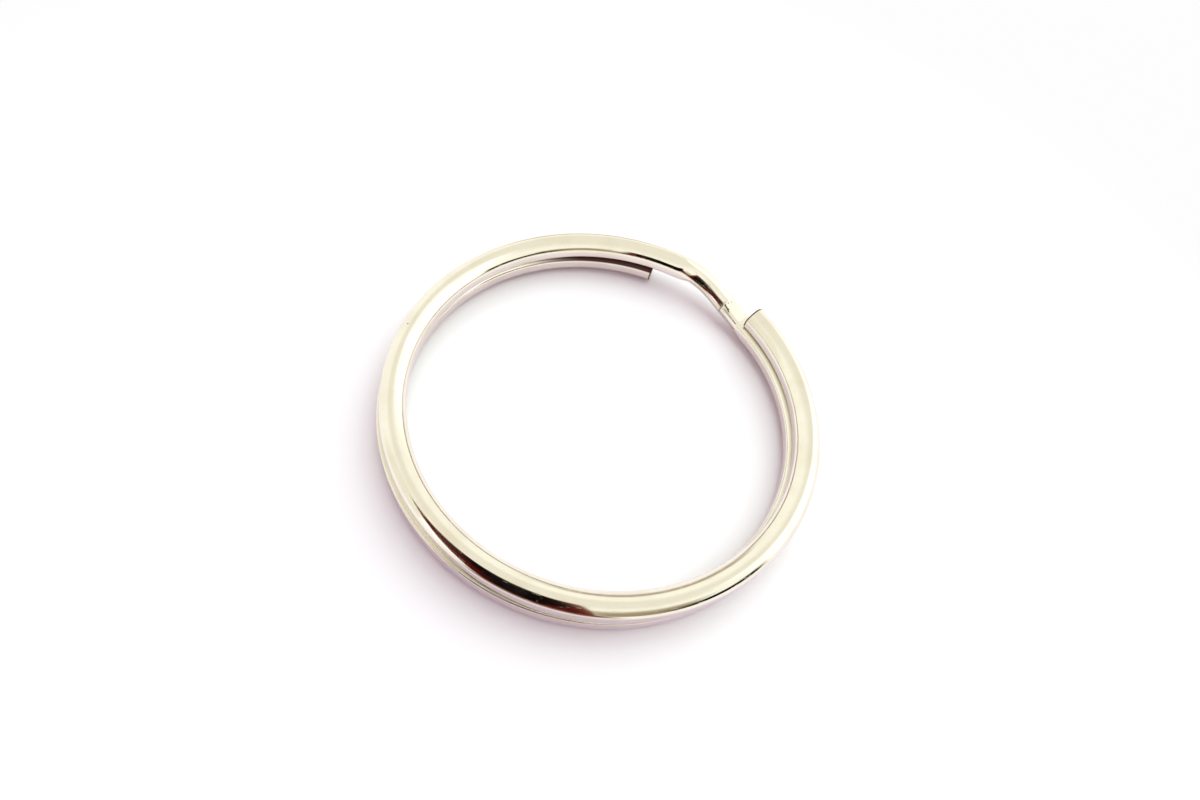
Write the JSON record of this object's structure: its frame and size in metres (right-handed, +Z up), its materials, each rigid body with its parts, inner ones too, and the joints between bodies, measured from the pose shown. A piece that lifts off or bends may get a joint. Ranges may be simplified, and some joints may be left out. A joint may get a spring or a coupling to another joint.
{
  "type": "split key ring",
  "caption": "Flat split ring of nickel-plated spring wire in two turns, with a stepped crossing between its cut ends, for holding keys.",
  "frame": {"origin": "centre of the eye, halfway between the centres of the two turns, at the level that the ring lies on", "axes": "+Z up through the eye, from the lower turn to the upper one; +X to the right and a little ahead of the two cut ends, which lie 34 and 70 degrees round from it"},
  "size_m": [0.0302, 0.03, 0.0032],
  "materials": {
    "nickel": "bright warm nickel plate over spring steel, lightly scratched, with tiny brown specks"
  },
  "bodies": {
    "root": {"split_ring": "nickel"}
  },
  "joints": []
}
